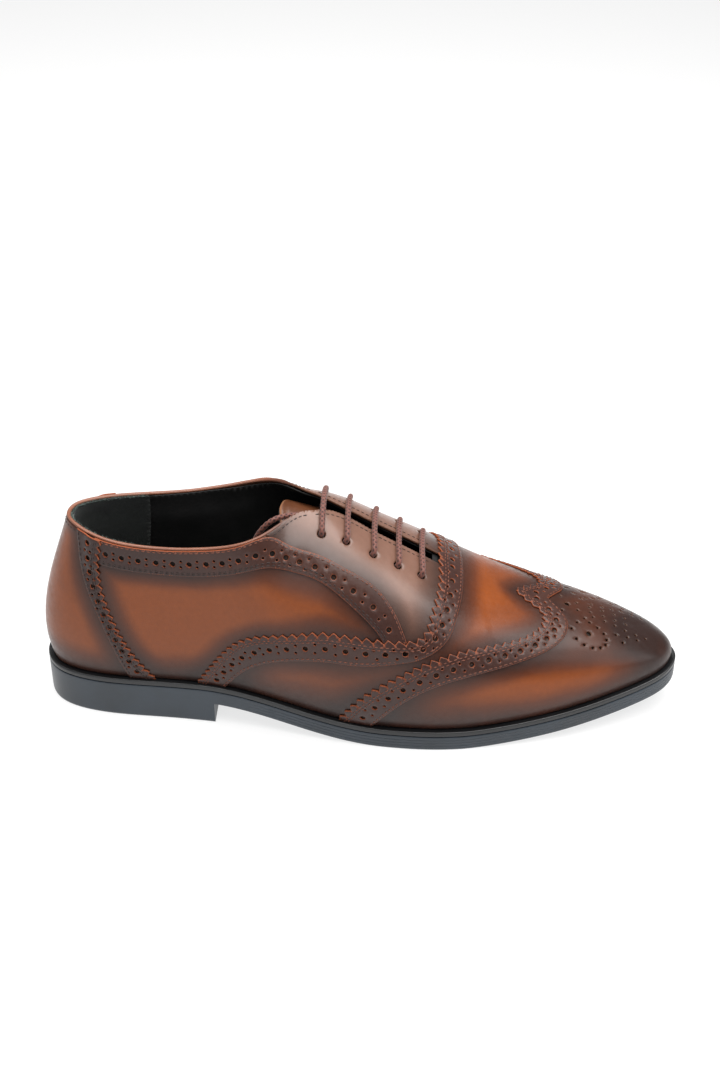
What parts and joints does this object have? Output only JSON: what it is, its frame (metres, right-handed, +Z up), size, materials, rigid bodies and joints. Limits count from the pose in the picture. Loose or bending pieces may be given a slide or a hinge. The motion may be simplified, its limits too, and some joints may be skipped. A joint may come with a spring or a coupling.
{
  "type": "wing-tip oxford shoe",
  "caption": "Right-foot lace-up wing-tip oxford in burnished leather with pinked, perforated strips, a moulded rubber sole and heel, and a hinged tongue.",
  "frame": {"origin": "on the ground, at the middle of the heel's tread", "axes": "+X towards the toe, +Y towards the inner (medial) side, +Z up"},
  "size_m": [0.301, 0.0988, 0.1072],
  "materials": {
    "tan_leather": "burnished full-grain calf, satin",
    "brown_leather": "burnished full-grain calf, satin",
    "dark_leather": "burnished full-grain calf, perforated and pinked",
    "black_rubber": "moulded, semi-matt",
    "black_lining": "smooth lining leather, matt",
    "black_suede": "napped suede",
    "lace_brown": "waxed braid",
    "brown_plastic": "smooth",
    "board_brown": "cellulose board, matt",
    "cork": "cork composition, matt",
    "steel": "plain"
  },
  "bodies": {
    "shoe": {"aglet_inner": "brown_plastic", "aglet_outer": "brown_plastic", "bottom_filler": "cork", "counter": "tan_leather", "counter_strip_lateral": "dark_leather", "counter_strip_medial": "dark_leather", "facing_lateral": "brown_leather", "facing_medial": "brown_leather", "facing_strip_lateral": "dark_leather", "facing_strip_medial": "dark_leather", "heel_grip": "black_suede", "heel_stiffener": "board_brown", "insole_board": "board_brown", "lace": "lace_brown", "quarter_lateral": "tan_leather", "quarter_lining_lateral": "black_lining", "quarter_lining_medial": "black_lining", "quarter_medial": "tan_leather", "shank": "steel", "sock_liner": "black_lining", "sole_unit": "black_rubber", "toe_cap": "tan_leather", "toe_puff": "board_brown", "topline_binding": "brown_leather", "vamp": "tan_leather", "vamp_lining": "black_lining", "vamp_strip": "dark_leather", "welt": "black_rubber", "wing_strip": "dark_leather"},
    "tongue": {"tongue": "tan_leather", "tongue_lining": "black_lining"}
  },
  "joints": [
    {"name": "tongue_hinge", "type": "hinge", "parent": "shoe", "child": "tongue", "pos_m": [0.13846, 0, 0.0696], "axis": [0, -1, 0], "range_deg": [0, 10], "stiffness_Nm_per_rad": 0.1, "springref_deg": -5.73}
  ]
}
